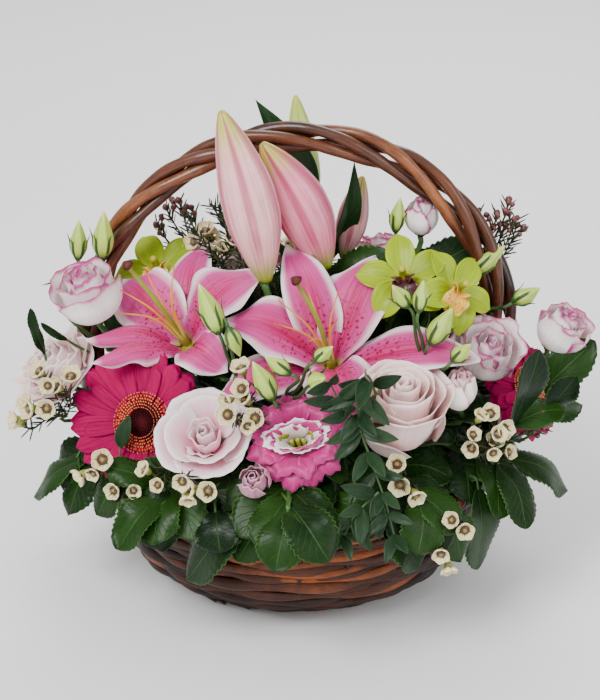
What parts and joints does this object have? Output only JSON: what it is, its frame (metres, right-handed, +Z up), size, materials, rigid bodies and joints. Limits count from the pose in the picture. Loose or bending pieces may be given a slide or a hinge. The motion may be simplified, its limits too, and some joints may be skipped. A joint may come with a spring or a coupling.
{
  "type": "flower basket arrangement",
  "caption": "Round woven willow basket with a twisted rod handle, filled with wet foam that holds lilies, gerberas, orchids, roses, lisianthus, waxflower and leafy stems.",
  "frame": {"origin": "middle of the basket's underside, on the surface that it stands on", "axes": "+Z up, +X along the handle's arch to the viewer's right, -Y towards the front of the arrangement"},
  "size_m": [0.462, 0.4497, 0.402],
  "materials": {
    "split_willow": "stained split willow, satin",
    "varnished_rod": "whole willow rods, glossy varnish",
    "liner_film": "dark film, dull",
    "wet_foam": "soaked foam, matt",
    "lily_petal": "soft petal, white margin and magenta midrib",
    "lily_style": "smooth, slightly waxy",
    "lily_bud_blush": "smooth bud, streaked",
    "lily_bud_rose": "smooth bud, pale ridges",
    "gerbera_ray": "soft velvety rays",
    "gerbera_disc": "fringed, dark centre",
    "orchid_tepal": "waxy petals",
    "orchid_lip_maroon": "waxy lip, spotted",
    "orchid_lip_gold": "waxy lip and column",
    "rose_blush": "soft petals, pinker inside",
    "rose_white": "soft petals, pinker at the edge",
    "lisianthus_pink": "thin ruffled petals",
    "rose_mauve": "soft petals, pale rim",
    "rose_ivory": "soft ruffled petals",
    "lisianthus_edged": "thin petals with a magenta edge",
    "lisianthus_white": "thin petals, pink mouth",
    "stem_green": "fresh green stem",
    "bud_lime": "smooth pointed buds",
    "waxflower_cream": "waxy small petals",
    "waxflower_bud": "closed brown buds",
    "leaf_myrtle": "grey-green leaves",
    "leaf_green": "broad glossy leaves"
  },
  "bodies": {
    "root": {"basket_base": "split_willow", "basket_rim": "split_willow", "basket_wall": "split_willow", "bud_spray_center": "bud_lime", "bud_spray_left": "bud_lime", "bud_spray_right": "bud_lime", "bud_spray_upper_left": "bud_lime", "bud_spray_upper_right": "bud_lime", "foam": "wet_foam", "foliage_back_left": "leaf_green", "foliage_back_right": "leaf_green", "foliage_front": "leaf_green", "foliage_front_left": "leaf_green", "foliage_front_right": "leaf_green", "foliage_left": "leaf_green", "foliage_left_front": "leaf_green", "foliage_right": "leaf_green", "foliage_right_front": "leaf_green", "gerbera_left_disc": "gerbera_disc", "gerbera_left_rays": "gerbera_ray", "gerbera_right": "gerbera_ray", "handle_rod_1": "varnished_rod", "handle_rod_2": "varnished_rod", "handle_rod_3": "varnished_rod", "handle_rod_4": "varnished_rod", "lily_bloom_front": "lily_petal", "lily_bloom_left": "lily_petal", "lily_bud_leaning": "lily_bud_rose", "lily_bud_tall": "lily_bud_blush", "lily_stamens_front": "lily_style", "lily_stamens_left": "lily_style", "lily_stem_back": "stem_green", "lily_stem_front": "stem_green", "liner": "liner_film", "lisianthus_back": "lisianthus_edged", "lisianthus_edged_far_right": "lisianthus_edged", "lisianthus_edged_left": "lisianthus_edged", "lisianthus_edged_right": "lisianthus_edged", "lisianthus_edged_top": "lisianthus_edged", "lisianthus_pink": "lisianthus_pink", "lisianthus_white_bud": "lisianthus_white", "myrtle_sprig": "leaf_myrtle", "orchid_left_tepals": "orchid_tepal", "orchid_side_lip": "orchid_lip_gold", "orchid_side_tepals": "orchid_tepal", "orchid_upright_lip": "orchid_lip_maroon", "orchid_upright_tepals": "orchid_tepal", "rose_back": "rose_blush", "rose_blush": "rose_blush", "rose_far_left": "rose_ivory", "rose_mauve": "rose_mauve", "rose_open": "rose_white", "waxflower_back": "waxflower_cream", "waxflower_front": "waxflower_cream", "waxflower_front_left": "waxflower_cream", "waxflower_left": "waxflower_cream", "waxflower_low_right": "waxflower_cream", "waxflower_right": "waxflower_cream", "waxflower_upper_left": "waxflower_cream", "waxflower_upper_right": "waxflower_bud"}
  },
  "joints": []
}
